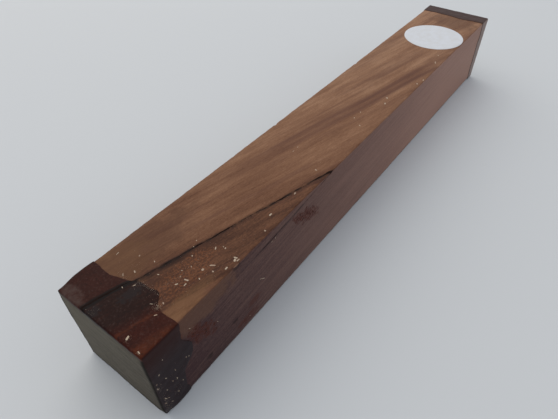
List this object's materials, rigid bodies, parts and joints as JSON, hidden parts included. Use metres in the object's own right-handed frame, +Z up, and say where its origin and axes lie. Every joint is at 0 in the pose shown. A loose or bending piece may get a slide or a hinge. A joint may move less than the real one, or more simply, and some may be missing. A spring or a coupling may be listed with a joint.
{
  "type": "wood turning blank",
  "caption": "Square stick of dark hardwood for turning on a lathe, with wax-sealed ends, a slanting shake along the top and a bare round paper label.",
  "frame": {"origin": "middle of the blank's underside, on the surface that it lies on", "axes": "+X along the grain, from the near end with the wide wax to the far end with the label; +Z up, out of the labelled face"},
  "size_m": [0.2938, 0.0408, 0.0408],
  "materials": {
    "wood": "satin",
    "wax": "gloss",
    "label_paper": "matte"
  },
  "bodies": {
    "root": {"blank": "wood", "wax_seal_near": "wax", "wax_seal_far": "wax", "label": "label_paper"}
  },
  "joints": []
}
